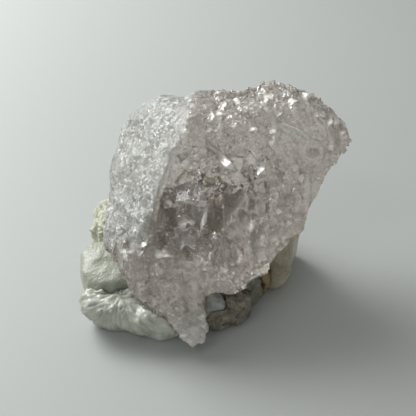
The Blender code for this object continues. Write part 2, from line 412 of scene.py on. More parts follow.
class ReliefTree:
    """A Geometry Nodes tree that moves a skin along its normal by the sum of some layers."""

    SEED_STEP: Triple = (7.31, 3.17, 0.0)
    WOBBLE_SCALE: float = 0.9
    WOBBLE_REACH: float = 0.7
    CUP_LEVEL: float = 0.35
    FOLD_SCALE: float = 0.7
    FOLD_DETAIL: float = 3.0
    FOLD_STEEPNESS: float = 3.0
    FOLD_LEVEL: float = 0.25
    GRIT_DETAIL: float = 2.0
    GRIT_ROUGHNESS: float = 0.7

    def __init__(self, name: str, layers: tuple[Layer, ...], material: bpy.types.Material) -> None:
        """Builds the tree, with a size and a depth input for each layer.

        Args:
            name: the tree's name.
            layers: what it adds up.
            material: what the skin wears.
        """
        self.layers = layers
        self.tree = bpy.data.node_groups.new(name, "GeometryNodeTree")
        self.tree.interface.new_socket("Geometry", in_out="INPUT", socket_type="NodeSocketGeometry")
        self.tree.interface.new_socket("Geometry", in_out="OUTPUT", socket_type="NodeSocketGeometry")
        for layer in layers:
            for word in ("size", "depth"):
                self.tree.interface.new_socket(
                    f"{layer.name} {word}", in_out="INPUT", socket_type="NodeSocketFloat"
                )
        graph = Graph(self.tree)
        self.graph = graph
        self.source = graph.add("NodeGroupInput")
        total = 0.0
        for layer in layers:
            total = graph.math("ADD", self.height(layer), total)
        normal = graph.add("GeometryNodeInputNormal").outputs[0]
        moved = graph.add(
            "GeometryNodeSetPosition",
            {"Geometry": self.source.outputs["Geometry"], "Offset": graph.scaled(normal, total)},
        )
        real = graph.add("GeometryNodeRealizeInstances", {0: moved.outputs[0]})
        dressed = graph.add("GeometryNodeSetMaterial", {"Geometry": real.outputs[0], "Material": material})
        graph.add("NodeGroupOutput", {0: dressed.outputs[0]})

    def attribute(self, name: str, kind: str) -> Socket:
        """A named attribute of the skin."""
        node = self.graph.add("GeometryNodeInputNamedAttribute", {"Name": name}, data_type=kind)
        return node.outputs["Attribute"]

    def height(self, layer: Layer) -> Socket:
        """How far one layer moves each point.

        Args:
            layer: the layer.

        Returns:
            The move along the normal, in metres.
        """
        graph = self.graph
        size = self.source.outputs[f"{layer.name} size"]
        depth = self.source.outputs[f"{layer.name} depth"]
        place = self.attribute(layer.place, "FLOAT_VECTOR")
        shrunk = graph.vector("DIVIDE", place, layer.stretch)
        to_size = graph.scaled(shrunk, graph.math("DIVIDE", 1.0, size))
        seeded = graph.vector("ADD", to_size, tuple(layer.seed * step for step in self.SEED_STEP))
        wobble = graph.off_middle(graph.noise(seeded, self.WOBBLE_SCALE, 1.0).outputs["Color"])
        bent = graph.vector("ADD", seeded, graph.scaled(wobble, self.WOBBLE_REACH))
        height = graph.math("MULTIPLY", self.raw(layer.texture, bent), depth)
        if layer.mask:
            height = graph.math("MULTIPLY", height, self.attribute(layer.mask, "FLOAT"))
        return height

    def raw(self, texture: Texture, place: Socket) -> Socket:
        """A texture's height for a depth of 1.

        Args:
            texture: the kind of relief.
            place: where it is read.

        Returns:
            The height.
        """
        ways = {
            Texture.CUPS: self.cups,
            Texture.SHARDS: self.graph.shards,
            Texture.FOLDS: self.folds,
            Texture.GRIT: self.grit,
        }
        return ways[texture](place)

    def cups(self, place: Socket) -> Socket:
        """Paraboloid hollows, with a crease where two meet."""
        distance = self.graph.cells(place).outputs["Distance"]
        return self.graph.math("SUBTRACT", self.graph.math("MULTIPLY", distance, distance), self.CUP_LEVEL)

    def folds(self, place: Socket) -> Socket:
        """Noise creased at its middle value.

        Args:
            place: where it is read.

        Returns:
            The height.
        """
        noise = self.graph.noise(place, self.FOLD_SCALE, self.FOLD_DETAIL).outputs[0]
        from_crease = self.graph.math("ABSOLUTE", self.graph.math("SUBTRACT", noise, MIDDLE))
        steep = self.graph.math("MULTIPLY", from_crease, self.FOLD_STEEPNESS)
        return self.graph.math("SUBTRACT", self.FOLD_LEVEL, steep)

    def grit(self, place: Socket) -> Socket:
        """Close fine noise."""
        noise = self.graph.noise(place, 1.0, self.GRIT_DETAIL, self.GRIT_ROUGHNESS).outputs[0]
        return self.graph.math("SUBTRACT", noise, MIDDLE)

    def apply(self, piece: bpy.types.Object) -> None:
        """Runs the tree on a piece and leaves it a plain mesh.

        Args:
            piece: the piece.
        """
        modifier = piece.modifiers.new("relief", "NODES")
        modifier.node_group = self.tree
        sockets = {s.name: s.identifier for s in self.tree.interface.items_tree if s.in_out == "INPUT"}
        for layer in self.layers:
            modifier[sockets[f"{layer.name} size"]] = layer.size
            modifier[sockets[f"{layer.name} depth"]] = layer.depth * MM
        bake_modifiers(piece)


# ---------------------------------------------------------------- meshes


def bake_modifiers(piece: bpy.types.Object) -> None:
    """Replaces a piece's mesh with the result of its modifiers, and removes them.

    Args:
        piece: the piece.
    """
    bpy.context.view_layer.update()
    graph = bpy.context.evaluated_depsgraph_get()
    result = bpy.data.meshes.new_from_object(piece.evaluated_get(graph), depsgraph=graph)
    result.name = piece.name
    piece.modifiers.clear()
    piece.data = result


def fine_skin(node: str, name: str, voxel: float, smoothing: int) -> bpy.types.Object:
    """A copy of a CAD solid, remade as an even skin.

    Args:
        node: the CAD node's name.
        name: the new piece's name.
        voxel: the spacing of the skin's points.
        smoothing: how many times the solid's flat facets are relaxed.

    Returns:
        The new piece, at the origin.
    """
    mesh = bmesh.new()
    mesh.from_mesh(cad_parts[node].data)
    bmesh.ops.remove_doubles(mesh, verts=mesh.verts, dist=MERGE_DISTANCE * MM)
    bmesh.ops.recalc_face_normals(mesh, faces=mesh.faces)
    data = bpy.data.meshes.new(name)
    mesh.to_mesh(data)
    mesh.free()
    piece = bpy.data.objects.new(name, data)
    bpy.context.scene.collection.objects.link(piece)
    remake = piece.modifiers.new("remake", "REMESH")
    remake.mode = "VOXEL"
    remake.voxel_size = voxel * MM
    if smoothing:
        relax = piece.modifiers.new("relax", "SMOOTH")
        relax.iterations = smoothing
        relax.factor = RELAX_FACTOR
    bake_modifiers(piece)
    return piece


def points_of(piece: bpy.types.Object) -> Array:
    """A piece's points, one row each, in metres."""
    flat = np.empty(len(piece.data.vertices) * 3, np.float32)
    piece.data.vertices.foreach_get("co", flat)
    return flat.reshape(-1, 3).astype(float)


def normals_of(piece: bpy.types.Object) -> Array:
    """The outward direction at each point of a piece."""
    flat = np.empty(len(piece.data.vertices) * 3, np.float32)
    piece.data.vertices.foreach_get("normal", flat)
    return flat.reshape(-1, 3).astype(float)


def set_points(piece: bpy.types.Object, points: Array) -> None:
    """Moves a piece's points."""
    piece.data.vertices.foreach_set("co", points.astype(np.float32).ravel())
    piece.data.update()


def store(piece: bpy.types.Object, name: str, values: Array) -> None:
    """Keeps a number, or a vector, for each point of a piece as a named attribute.

    Args:
        piece: the piece.
        name: the attribute's name.
        values: a row or a number each.
    """
    if values.ndim == 2:
        kept = piece.data.attributes.new(name, "FLOAT_VECTOR", "POINT")
        kept.data.foreach_set("vector", values.astype(np.float32).ravel())
    else:
        kept = piece.data.attributes.new(name, "FLOAT", "POINT")
        kept.data.foreach_set("value", values.astype(np.float32))


def stand_on_table(piece: bpy.types.Object) -> None:
    """Presses anything under the table's surface up to it.

    Args:
        piece: the piece.
    """
    points = points_of(piece)
    points[:, 2] = np.maximum(points[:, 2], 0.0)
    set_points(piece, points)


def finish_piece(piece: bpy.types.Object, node: str, sharp_angle: float | None = None) -> None:
    """Shades a piece smooth, hides the CAD node it stands for and hangs the piece from the body.

    Args:
        piece: the finished piece.
        node: the CAD node that it replaces.
        sharp_angle: edges that turn by more degrees than this stay sharp; nothing softens them all.
    """
    piece.data.shade_smooth()
    if sharp_angle is not None:
        piece.data.set_sharp_from_angle(angle=math.radians(sharp_angle))
    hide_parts(node)
    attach(piece, BODY)
    log.info("%s: %d points for %s", piece.name, len(piece.data.vertices), node)


# ---------------------------------------------------------------- finishes


def new_material(name: str) -> tuple[bpy.types.Material, Graph, bpy.types.Node]:
    """A material with its graph and its Principled shader.

    Args:
        name: the material's name.

    Returns:
        The material, its graph and its shader.
    """
    material = bpy.data.materials.new(name)
    material.use_nodes = True
    graph = Graph(material.node_tree)
    return material, graph, material.node_tree.nodes["Principled BSDF"]


@dataclass(frozen=True)
class StoneFinish:
    """An opaque or waxy mineral.

    Attributes:
        name: the material's name.
        light, dark: the two colours that its patches run between.
        patch: the size of the patches.
        vein, vein_share: the colour along thin veins, and how much of it shows.
        roughness: the lowest and highest roughness.
        coat: how much clear gloss lies over it.
        grain, grain_height: the size of the fine bumps, and their height.
        stretch: how much longer patches and bumps are along each axis.
        follows_blades: whether its pattern runs with the piece's blades.
        patch_roughness: how ragged the patches are.
        vein_scale, vein_width, vein_twist: how close the veins lie, how wide they are and how bent.
        fine_scale, speckle: how close the finest grit lies, and how it dims and lifts the colour.
        glow, glow_radius, glow_reach: how much light goes under the surface, and how far.
        coat_roughness: how rough the gloss is.
    """

    name: str
    light: Colour
    dark: Colour
    patch: float
    vein: Colour
    vein_share: float
    roughness: Point2
    coat: float
    grain: float = 0.6
    grain_height: float = 0.12
    stretch: Triple = (1.0, 1.0, 1.0)
    follows_blades: bool = False
    patch_roughness: float = 0.62
    vein_scale: float = 1.4
    vein_width: float = 0.03
    vein_twist: float = 0.6
    fine_scale: float = 1.6
    speckle: Point2 = (0.88, 1.06)
    glow: float = 0.15
    glow_radius: Colour = (1.0, 0.9, 0.7)
    glow_reach: float = 1.5
    coat_roughness: float = 0.25

    def material(self) -> bpy.types.Material:
        """The finish as a procedural material.

        Returns:
            The material.
        """
        material, graph, shader = new_material(self.name)
        place = self.place(graph)
        grains = graph.cells(place, 1 / self.grain).outputs["Distance"]
        fine = graph.noise(place, self.fine_scale / self.grain, 3.0).outputs[0]
        speckle = graph.spread(fine, *FINE_RANGE, *self.speckle)
        shade = graph.add("ShaderNodeCombineColor", {0: speckle, 1: speckle, 2: speckle}).outputs[0]
        colour = graph.blend(1.0, self.colour(graph, place), shade, "MULTIPLY")
        graph.feed(shader.inputs["Base Color"], colour)
        graph.feed(shader.inputs["Roughness"], graph.spread(fine, *FINE_RANGE, *self.roughness))
        height = graph.math("ADD", grains, fine)
        bump = {"Height": height, "Distance": self.grain_height * MM, "Strength": 1.0}
        graph.feed(shader.inputs["Normal"], graph.add("ShaderNodeBump", bump).outputs[0])
        shader.inputs["Subsurface Weight"].default_value = self.glow
        shader.inputs["Subsurface Radius"].default_value = self.glow_radius
        shader.inputs["Subsurface Scale"].default_value = self.glow_reach * MM
        shader.inputs["Coat Weight"].default_value = self.coat
        shader.inputs["Coat Roughness"].default_value = self.coat_roughness
        return material

    def place(self, graph: Graph) -> Socket:
        """Where the pattern is read: along the blades, or in the object's own millimetres.

        Args:
            graph: the material's graph.

        Returns:
            The place.
        """
        if self.follows_blades:
            place, unit = graph.add("ShaderNodeAttribute", attribute_name="own_place").outputs["Vector"], 1.0
        else:
            place, unit = graph.add("ShaderNodeTexCoord").outputs["Object"], MM
        scale = [1 / (unit * s) for s in self.stretch]
        return graph.add("ShaderNodeMapping", {"Vector": place, "Scale": scale}).outputs[0]

    def colour(self, graph: Graph, place: Socket) -> Socket:
        """Patches of two colours with thin veins through them.

        Args:
            graph: the material's graph.
            place: where it is read.

        Returns:
            The colour.
        """
        patches = graph.noise(place, 1 / self.patch, 6.0, self.patch_roughness).outputs[0]
        patched = graph.blend(graph.spread(patches, *CLOUD_RANGE), (*self.dark, 1), (*self.light, 1))
        veins = graph.noise(place, self.vein_scale / self.patch, 4.0, twist=self.vein_twist).outputs[0]
        from_vein = graph.math("ABSOLUTE", graph.math("SUBTRACT", veins, MIDDLE))
        near_vein = graph.spread(from_vein, 0.0, self.vein_width, self.vein_share, 0.0)
        return graph.blend(near_vein, patched, (*self.vein, 1))


@dataclass(frozen=True)
class KunziteFinish:
    """The crystal's glass: clear in its window, frosted on its left face, faintly pink all through.

    Attributes:
        name: the material's name.
        clear_tint, haze_tint, frost_tint: the window's colour, the plain skin's and the frosted face's.
        roughness, haze, bumps: how rough, how milky and how bumpy the same three are, in that order.
        refraction: how much the glass bends light.
        body_tint, body_density: the colour that the glass keeps with depth, and how fast.
        facet_size, fleck_size, pane_size: the sizes of the broken cells, from middling to small to large.
        cell_bend: how far the cells' edges wander.
        facet_contrast, pane_contrast: how much haze differs from cell to cell, partly uneven milkiness and
            partly painted light and shade on the facets.
        painted_glint_share, painted_glint_haze: how many flecks are made milky as painted glints, and how
            milky.
        painted_light_haze: how milky a full veil is, which paints highlights and shade on the crystal's
            features.
        cloud_scale, wander_scale, grit_scale: how many features of each soft texture fit in a millimetre.
        clouding: how thin and how thick the haze runs.
        frost_fade, frost_wander: how the frost comes in, and how far clouds shift its edge.
        frost_clearing: how much of the cells' contrast the frost hides.
        roughness_swing: how the grit lowers and raises the roughness.
    """

    name: str = "etched_kunzite"
    clear_tint: Colour = (0.93, 0.89, 0.86)
    haze_tint: Colour = (0.96, 0.91, 0.85)
    frost_tint: Colour = (0.76, 0.76, 0.72)
    roughness: Triple = (0.03, 0.07, 0.38)
    haze: Triple = (0.14, 0.27, 0.40)
    bumps: Triple = (0.06, 0.20, 0.45)
    refraction: float = 1.66
    body_tint: Colour = (0.86, 0.66, 0.62)
    body_density: float = 6.5
    facet_size: float = 1.1
    fleck_size: float = 0.5
    pane_size: float = 3.0
    cell_bend: float = 0.9
    facet_contrast: float = 0.42
    pane_contrast: float = 0.35
    # painted glints: a few flecks made milky white
    painted_glint_share: float = 0.06
    painted_glint_haze: float = 0.45
    # how milky the veil makes the crystal, as painted highlights and painted shade
    painted_light_haze: float = 0.70
    cloud_scale: float = 0.42
    wander_scale: float = 0.8
    grit_scale: float = 2.6
    clouding: Point2 = (0.75, 1.35)
    frost_fade: Point2 = (0.3, 0.7)
    frost_wander: float = 0.9
    frost_clearing: float = 0.75
    roughness_swing: Point2 = (-0.05, 0.07)

    def material(self) -> bpy.types.Material:
        """The finish as a material that reads the crystal's own masks.

        Returns:
            The material.
        """
        material, graph, shader = new_material(self.name)
        own = graph.add("ShaderNodeTexCoord").outputs["Object"]
        place = graph.add("ShaderNodeMapping", {"Vector": own, "Scale": [1 / MM] * 3}).outputs[0]
        window = graph.attribute("window")
        cloud = graph.noise(place, self.cloud_scale, 5.0).outputs[0]
        frost = self.frosting(graph, cloud)
        wander = graph.noise(place, self.wander_scale, 1.0).outputs["Color"]
        bent = graph.vector("ADD", place, graph.scaled(graph.off_middle(wander), self.cell_bend))
        facets, flecks, panes = (
            graph.scaled(bent, 1 / size) for size in (self.facet_size, self.fleck_size, self.pane_size)
        )
        tint = graph.blend(frost, (*self.haze_tint, 1), (*self.frost_tint, 1))
        graph.feed(shader.inputs["Base Color"], graph.blend(window, tint, (*self.clear_tint, 1)))
        rough = self.by_skin(graph, window, frost, self.roughness)
        grit = graph.noise(place, self.grit_scale, 4.0).outputs[0]
        varied = graph.math("ADD", rough, graph.spread(grit, *FINE_RANGE, *self.roughness_swing), clamp=True)
        graph.feed(shader.inputs["Roughness"], varied)
        haze = self.by_skin(graph, window, frost, self.haze)
        clouded = graph.spread(cloud, *CLOUD_RANGE, *self.clouding)
        haze = graph.math("MULTIPLY", haze, clouded, clamp=True)
        # each broken cell's own haze: partly uneven milkiness, partly painted light and shade on the facets
        haze = graph.math("MULTIPLY", haze, self.cell_haze_and_painted_light(graph, window, frost, facets, panes))
        # painted glints: a few milky white flecks
        haze = graph.math("ADD", haze, self.painted_glint_specks(graph, flecks))
        # painted highlights and painted shade: the veil that the crystal's features carry
        veil = graph.math("MULTIPLY", graph.attribute("veil"), self.painted_light_haze)
        haze = graph.math("ADD", haze, veil, clamp=True)
        graph.feed(shader.inputs["Transmission Weight"], graph.math("SUBTRACT", 1.0, haze))
        depth = self.by_skin(graph, window, frost, self.bumps)
        bump = {"Height": self.relief(graph, facets, flecks), "Distance": MM, "Strength": depth}
        graph.feed(shader.inputs["Normal"], graph.add("ShaderNodeBump", bump).outputs[0])
        shader.inputs["IOR"].default_value = self.refraction
        absorb = graph.add("ShaderNodeVolumeAbsorption")
        absorb.inputs["Color"].default_value = (*self.body_tint, 1)
        absorb.inputs["Density"].default_value = self.body_density
        graph.feed(material.node_tree.nodes["Material Output"].inputs["Volume"], absorb.outputs[0])
        return material

    def frosting(self, graph: Graph, cloud: Socket) -> Socket:
        """How frosted each place is, with an edge that wanders."""
        shift = graph.math("MULTIPLY", graph.math("SUBTRACT", cloud, MIDDLE), self.frost_wander)
        return graph.spread(graph.math("ADD", graph.attribute("frost"), shift), *self.frost_fade)

    def by_skin(self, graph: Graph, window: Socket, frost: Socket, numbers: Triple) -> Socket:
        """A number that differs between the window, the plain etched skin and the frosted face.

        Args:
            graph: the material's graph.
            window: how much of the window shows.
            frost: how frosted it is.
            numbers: the three numbers.

        Returns:
            The number at each place.
        """
        clear, etched, frosted = numbers
        plain = graph.spread(window, 0.0, 1.0, etched, clear)
        return graph.math("ADD", plain, graph.math("MULTIPLY", frost, frosted - etched))

    def cell_haze_and_painted_light(self, graph: Graph, window: Socket, frost: Socket, facets: Socket, panes: Socket) -> Socket:
        """What haze is multiplied by in each broken cell, plain again under frost: partly uneven milkiness,
        partly painted light and shade on the facets.

        Args:
            graph: the material's graph.
            window: how much of the window shows.
            frost: how frosted it is.
            facets: where the middling cells are read.
            panes: where the large cells are read.

        Returns:
            The factor.
        """
        etched = graph.math("SUBTRACT", 1.0, graph.math("MULTIPLY", frost, self.frost_clearing))
        swing = graph.spread(window, 0.0, 1.0, self.facet_contrast, 0.0)
        centred = graph.spread(graph.cell_value(facets, 0), 0.0, 1.0, -1.0, 1.0)
        by_facet = graph.math("ADD", 1.0, graph.math("MULTIPLY", centred, swing))
        thin, thick = 1 - self.pane_contrast, 1 + self.pane_contrast
        by_pane = graph.spread(graph.cell_value(panes, 1), 0.0, 1.0, thin, thick)
        own = graph.math("SUBTRACT", graph.math("MULTIPLY", by_facet, by_pane), 1.0)
        return graph.math("ADD", graph.math("MULTIPLY", own, etched), 1.0)

    def painted_glint_specks(self, graph: Graph, flecks: Socket) -> Socket:
        """The haze of the few flecks that are made milky, as painted glints."""
        return graph.spread(graph.cell_value(flecks, 2), 1 - self.painted_glint_share, 1.0, 0.0, self.painted_glint_haze)

    def relief(self, graph: Graph, facets: Socket, flecks: Socket) -> Socket:
        """The height of the finest broken facets, coarse and fine together.

        Args:
            graph: the material's graph.
            facets: where the middling cells are read.
            flecks: where the small cells are read.

        Returns:
            The height in millimetres.
        """
        coarse = graph.math("MULTIPLY", graph.shards(facets), self.facet_size)
        fine = graph.math("MULTIPLY", graph.shards(flecks), self.fleck_size)
        return graph.math("ADD", coarse, fine)


# ---------------------------------------------------------------- the crystal

# How fast a facet climbs to the right and upward when it is turned so that its gloss shows the window,
# most of the way there, a little of the way, or the other way.
GLINT = (0.58, -0.77)
SHEEN = (0.42, -0.52)
PALE = (0.27, -0.20)
TURNED_AWAY = (-0.50, 0.35)


@dataclass
class KunziteCrystal:
    """The one big crystal: a leaning tablet, etched all over.

    Its broad face has its own frame: u across, v up the face and w out of it. A fade is the two places,
    or the two values, between which something comes in.

    Attributes:
        node, slot, finish: the CAD node it replaces, a slot name that is not used, and its finish.
        voxel, smoothing, sharp_angle: its skin's spacing, relaxing and sharpest soft edge.
        lean_degrees, middle_offset: the face's lean, and its middle from the middle of the node's box.
        facing_fade: how squarely the skin faces outward where the broad face's features come in.
        frost_edge, frost_blur, frost_fade: the frosted face's outline, how soft it is, and its lower end.
        back_fade, back_frost_cut: where the back begins, and how much less frost it has.
        window_edge, window_blur, window_depth: the sunken clear window.
        facets, ridges, ring: the features that are placed one by one.
        glints: small bright facets, each as u, v and radius, with a painted highlight on each.
        glint_corners: a glint's corners as bearing in radians and reach in its radius.
        glint_turn: how many radians each glint is turned from the last one.
        glint_lift, glint_edge, glint_painted_highlight: how proud and how soft a glint is, and how milky, as
        a painted highlight.
        lift_limits: how far the listed features may sink or raise the skin.
        painted_light_spread: how much wider than itself a ridge's veil of painted highlight is.
        spur_haze_and_painted_light, spur_fade: how milky the spur is, partly its own haze and partly painted
            brightness, and where along v that begins.
        smooth_patch, smooth_blur: the less etched patch at the upper right.
        brush_degrees, fibre_fade: the turn of the brushed fibres, and where along v they begin.
        rim_fade: how squarely the skin faces outward where the rim ends.
        upper_fade, upper_right_fade: where along v and along u the upper streaks begin.
        ridge_calm, ridge_calm_spread, ring_calm, ring_calm_fade: how the ridges and the ring hold etching
        off.
        frost_on_swells, frost_on_rim, frost_on_plain, rim_on_plain, smooth_on_plain: how much of one kind
            of etching another kind of surface holds off.
        layers: the etching.
    """

    node: str = "kunzite_crystal"
    slot: str = "kunzite"
    finish: KunziteFinish = KunziteFinish()
    voxel: float = 0.335
    smoothing: int = 5
    sharp_angle: float = 50.0
    lean_degrees: float = 50.0
    middle_offset: Triple = (-2.85, -3.05, 3.4)
    facing_fade: Point2 = (0.0, 0.45)
    frost_edge: Trail = outline(
        (-4, 34), (-7.5, 18), (-12, 6), (-14.5, -2), (-20, -22), (-44, -22), (-44, 44), (-4, 44)
    )
    frost_blur: float = 2.2
    frost_fade: Point2 = (-19.0, -1.0)
    back_fade: Point2 = (0.1, 0.7)
    back_frost_cut: float = 0.75
    window_edge: Trail = outline(
        (-14, -10), (-15, -5), (-13, 4), (-10, 13), (-2, 15.5), (6, 13), (12, 14), (17, 9), (17.5, 2),
        (13, -2.5), (6, -4.5), (8.5, -12), (5, -14.5), (-4, -13),
    )
    window_blur: float = 0.7
    window_depth: float = 1.3
    # each facet's veil is painted light: milky as a painted highlight, or under zero clear and dark as
    # painted shade
    facets: tuple[Facet, ...] = (  # outline, rise, slope, edge and veil
        Facet(
            outline((-13.5, 4), (-10, 12.5), (-5, 14.5), (-7, 9), (-10.5, 4)),
            -0.8, (-0.35, 0.25), 0.3, 0.0,
        ),
        Facet(outline((-14.5, -5), (-13.5, 4), (-11.5, 4), (-12.5, -6)), -0.8, (-0.55, 0.0), 0.3, 0.0),
        Facet(
            outline((-2.5, 15.5), (1.5, 13), (4, 10), (5, 7.5), (2, 8.5), (-1.5, 12.5)),
            0.7, GLINT, 0.3, 0.45,
        ),
        Facet(outline((4, 11.5), (6.5, 11.5), (6.5, 9), (5, 7.5), (4, 9)), -0.2, PALE, 0.2, 0.35),
        Facet(outline((12, 12), (11.5, 8.5), (9, 6), (9.5, 9)), 0.7, GLINT, 0.2, 0.9),
        Facet(outline((-8, -2), (-5.5, -4), (-8, -4.5)), 0.8, GLINT, 0.2, 1.0),
        Facet(outline((-1.5, 2), (-2, -3), (-4, -8), (-4, -4), (-3, -1)), 0.5, SHEEN, 0.25, 0.5),
        Facet(outline((-1.5, 3), (2, 3), (1.5, -6), (-2, -8)), -0.9, TURNED_AWAY, 0.25, -0.3),
        Facet(outline((-10, 5), (-5.5, 6.5), (-6, 1), (-9.5, 0.5)), -0.2, SHEEN, 0.25, 0.1),
        Facet(outline((-5.5, 6), (-2.5, 5), (-4, 0), (-6, 1)), -0.2, PALE, 0.25, 0.15),
        Facet(outline((-4.5, 7), (0, 7.5), (0, 4.5), (-2.5, 5)), -0.9, (-0.35, -0.1), 0.3, -0.3),
        Facet(outline((0, 7.5), (6, 8), (8, 5.5), (2, 4)), -0.8, (0.30, 0.1), 0.3, -0.25),
        Facet(
            outline((2, 3), (8, 4.5), (4.5, -2), (5.5, -6), (8, -11), (2.5, -8)),
            -0.4, (-0.12, -0.20), 0.5, 0.0,
        ),
        Facet(outline((-14.5, -9.5), (-9.5, -12), (-14, -12.5)), 0.4, SHEEN, 0.3, 0.4),
        Facet(outline((-9, 9.5), (-3, 14), (-2, 11), (-5, 8)), -0.4, PALE, 0.25, 0.25),
        Facet(outline((-12, 0), (-9, 0), (-9, -8), (-12.5, -7)), -0.7, (-0.2, -0.25), 0.3, -0.2),
        Facet(outline((-8.5, -5), (-4.5, -5), (-4.5, -11), (-8, -9)), -0.5, (0.2, -0.35), 0.3, 0.12),
        Facet(outline((7, 12.5), (11, 12.5), (10, 9.5), (7, 9.5)), -0.6, (-0.3, 0.3), 0.3, -0.2),
        Facet(outline((1.5, 18), (10, 18), (11.5, 14), (4, 13.5)), -0.3, (-0.05, -0.10), 0.7, -0.15),
        Facet(outline((20, 9), (22, 8), (22.5, 4.5), (21, 2), (20.5, 5)), 0.4, GLINT, 0.3, 0.5),
    )
    # each glint is a small facet turned to the window, painted white by its veil as a highlight
    glints: tuple[Triple, ...] = (
        (-5, 10, 0.9), (-0.5, 9.5, 0.7), (-8, -9.5, 0.8), (8.5, 18, 1.1), (13, 18, 1.5),
        (12, 26, 1.3), (15, 22, 1.2), (18.5, 26, 1.3), (22.5, 28, 1.2), (28, 21, 1.3), (31, 18.5, 1.1),
        (28, 14.5, 1.2), (20.5, 7, 1.4), (20.5, 3, 1.0), (11, -12, 2.0), (9.5, -15.5, 1.0), (17, 13, 0.8),
        (1, 22, 0.9), (5, 26, 1.1), (-17, -9, 1.2), (2, -15, 0.9), (-3, -14.5, 0.8), (6, -17, 0.9),
        (12.5, 2, 1.0), (14.5, -1, 1.1), (8, -5, 0.8), (17.5, -4, 1.1), (-11, 1, 0.9), (-6, -6, 0.8),
    )
    glint_corners: tuple[Point2, ...] = ((0.0, 1.1), (1.9, 0.8), (3.3, 1.3), (4.9, 0.6))
    glint_turn: float = 2.2
    glint_lift: float = 0.3
    glint_edge: float = 0.2
    glint_painted_highlight: float = 0.8
    lift_limits: Point2 = (-2.8, 1.3)
    # a ridge's veil paints a highlight streak along it
    ridges: tuple[Ridge, ...] = (  # line, height, width and veil
        Ridge(line((-4, 29), (-7.5, 18), (-12, 6), (-14.5, -2)), 0.7, 1.6, 0.0),
        Ridge(line((-2, 15.5), (3, 11), (6, 7.5), (5.5, 5)), 0.6, 0.5, 0.4),
        Ridge(line((7.5, 4.5), (4.5, -2), (5.5, -6), (8.5, -12)), 1.0, 0.9, 0.3),
        Ridge(line((16, 19.5), (19, 18.5), (22, 16.5)), 1.4, 0.7, 1.0),
        Ridge(line((21, 8.5), (22.5, 5.5), (21.5, 2.5)), 1.0, 0.8, 0.9),
        Ridge(line((9, 24.5), (13, 22), (14.5, 18), (13.5, 14.5)), 1.0, 0.9, 0.4),
        Ridge(line((25.5, 22), (28.5, 18), (29, 14)), 0.8, 0.8, 0.0),
        Ridge(line((-12, -13), (-4, -14.5), (4, -15.5)), 0.6, 0.9, 0.0),
        Ridge(line((-25, 2), (-18, -4), (-16, -8)), 0.6, 0.8, 0.0),
    )
    # the ring's veil paints a bright highlight ring
    ring: Ring = Ring((23.5, 13.5), 2.3, 0.45, 0.28, 0.6)
    painted_light_spread: float = 0.9
    spur_haze_and_painted_light: float = 0.42
    spur_fade: Point2 = (-30.0, -24.0)
    smooth_patch: Trail = outline(
        (14, 20), (17, 25), (24, 26), (30, 20), (29, 12), (24, 8), (18, 11), (13, 15)
    )
    smooth_blur: float = 1.5
    brush_degrees: float = 32.0
    fibre_fade: Point2 = (-9.0, -13.0)
    rim_fade: Point2 = (0.2, 0.65)
    upper_fade: Point2 = (19.0, 24.0)
    upper_right_fade: Point2 = (4.0, 9.0)
    ridge_calm: float = 0.8
    ridge_calm_spread: float = 1.6
    ring_calm: float = 0.9
    ring_calm_fade: Point2 = (1.0, 1.6)
    frost_on_swells: float = 0.5
    frost_on_rim: float = 0.7
    frost_on_plain: float = 0.88
    rim_on_plain: float = 0.6
    smooth_on_plain: float = 0.65
    layers: tuple[Layer, ...] = (
        Layer("swells", Texture.CUPS, 7.0, 1.0, "swollen", seed=3),
        Layer("window shards", Texture.SHARDS, 4.2, 3.4, "broken", (0.75, 1.6, 1.0), 5),
        Layer("window splinters", Texture.SHARDS, 1.9, 0.5, "broken", (0.7, 1.5, 1.0), 8),
        Layer("etched dimples", Texture.CUPS, 2.9, 0.55, "plain", (1.0, 1.2, 1.0), 11),
        Layer("etched facets", Texture.SHARDS, 2.6, 0.95, "plain", (1.0, 1.3, 1.0), 21),
        Layer("small dimples", Texture.CUPS, 1.4, 0.18, "plain", seed=27),
        Layer("rim dimples", Texture.CUPS, 3.4, 0.8, "rim", seed=17),
        Layer("rim facets", Texture.SHARDS, 2.4, 0.45, "rim", seed=37),
        Layer("frost", Texture.GRIT, 0.7, 0.20, "frost", seed=2),
        Layer("brushed fibres", Texture.FOLDS, 1.2, 0.28, "fibre", (0.8, 5.0, 1.0), 14, "brushed_place"),
        Layer("upper streaks", Texture.SHARDS, 2.6, 0.6, "upper", (0.6, 1.8, 1.0), 33),
    )

    def own_places(self, points: Array) -> Array:
        """Each point as (u, v, w) in the tablet: across, up the broad face, and out of it.

        Args:
            points: the skin's points, in metres.

        Returns:
            One row of (u, v, w) for each point.
        """
        low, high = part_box(self.node)
        middle = np.array((low + high) / 2) / MM + np.array(self.middle_offset)
        lean = math.radians(self.lean_degrees)
        across = points / MM - middle
        up = across[:, 1] * math.cos(lean) + across[:, 2] * math.sin(lean)
        out = across[:, 2] * math.cos(lean) - across[:, 1] * math.sin(lean)
        return np.column_stack((across[:, 0], up, out))

    def brushed_places(self, places: Array) -> Array:
        """The same places, turned so that the brushed fibres run along the second axis.

        Args:
            places: each point as (u, v, w).

        Returns:
            One turned row for each point.
        """
        turn = math.radians(self.brush_degrees)
        across = places[:, 0] * math.cos(turn) + places[:, 1] * math.sin(turn)
        along = places[:, 1] * math.cos(turn) - places[:, 0] * math.sin(turn)
        return np.column_stack((across, along, places[:, 2]))

    def outward(self) -> Array:
        """The broad face's outward direction."""
        lean = math.radians(self.lean_degrees)
        return np.array((0.0, -math.sin(lean), math.cos(lean)))

